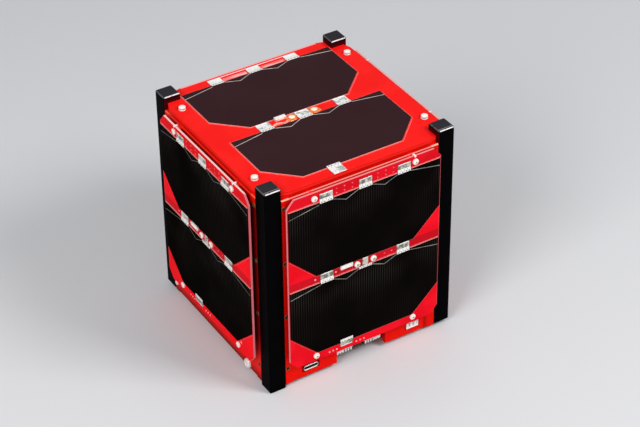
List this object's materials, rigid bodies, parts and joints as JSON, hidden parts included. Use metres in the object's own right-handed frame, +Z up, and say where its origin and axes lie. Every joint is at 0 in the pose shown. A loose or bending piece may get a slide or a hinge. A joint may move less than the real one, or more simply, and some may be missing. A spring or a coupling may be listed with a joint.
{
  "type": "cube satellite",
  "caption": "One-unit cube satellite: black corner rails, red frame plates and red solar boards with cropped black cells on the sides and the top, ports low at the front.",
  "frame": {"origin": "on the floor under the middle of the satellite", "axes": "+Z up along the rails, -Y out of the front with the ports, -X out of the left side, +X right"},
  "size_m": [0.1082, 0.1082, 0.1135],
  "materials": {
    "black_anodised": "black hard-anodised aluminium, satin",
    "dark_metal": "dark steel plunger, smooth",
    "red_anodised": "red anodised aluminium, satin",
    "red_board": "red solder mask on a glass-fibre board, glossy",
    "solar_cell": "near-black solar cell under cover glass",
    "silver_tab": "silver-plated interconnect with solder",
    "bright_screw": "bright stainless steel",
    "dark_board": "dark green solder mask",
    "bright_shell": "bright tinned sheet",
    "pale_plastic": "pale connector plastic",
    "stack_black": "battery and boards as one plain block"
  },
  "bodies": {
    "root": {"bottom_plate": "red_anodised", "cell_tabs_back": "silver_tab", "cell_tabs_front": "silver_tab", "cell_tabs_left": "silver_tab", "cell_tabs_right": "silver_tab", "cell_tabs_top": "silver_tab", "equipment_stack": "stack_black", "four_way_connector": "pale_plastic", "left_studs": "bright_screw", "plunger_back_left": "dark_metal", "plunger_front_right": "dark_metal", "port_board": "dark_board", "rail_back_left": "black_anodised", "rail_back_right": "black_anodised", "rail_front_left": "black_anodised", "rail_front_right": "black_anodised", "screws_back": "bright_screw", "screws_bottom": "bright_screw", "screws_front": "bright_screw", "screws_left": "bright_screw", "screws_middle": "bright_screw", "screws_right": "bright_screw", "screws_top": "bright_screw", "side_frame_back": "red_anodised", "side_frame_front": "red_anodised", "side_frame_left": "red_anodised", "side_frame_right": "red_anodised", "solar_board_back": "red_board", "solar_board_front": "red_board", "solar_board_left": "red_board", "solar_board_right": "red_board", "solar_board_top": "red_board", "solar_cells_back": "solar_cell", "solar_cells_front": "solar_cell", "solar_cells_left": "solar_cell", "solar_cells_right": "solar_cell", "solar_cells_top": "solar_cell", "top_plate": "red_anodised", "umbilical_headers": "pale_plastic", "usb_port": "bright_shell"}
  },
  "joints": []
}
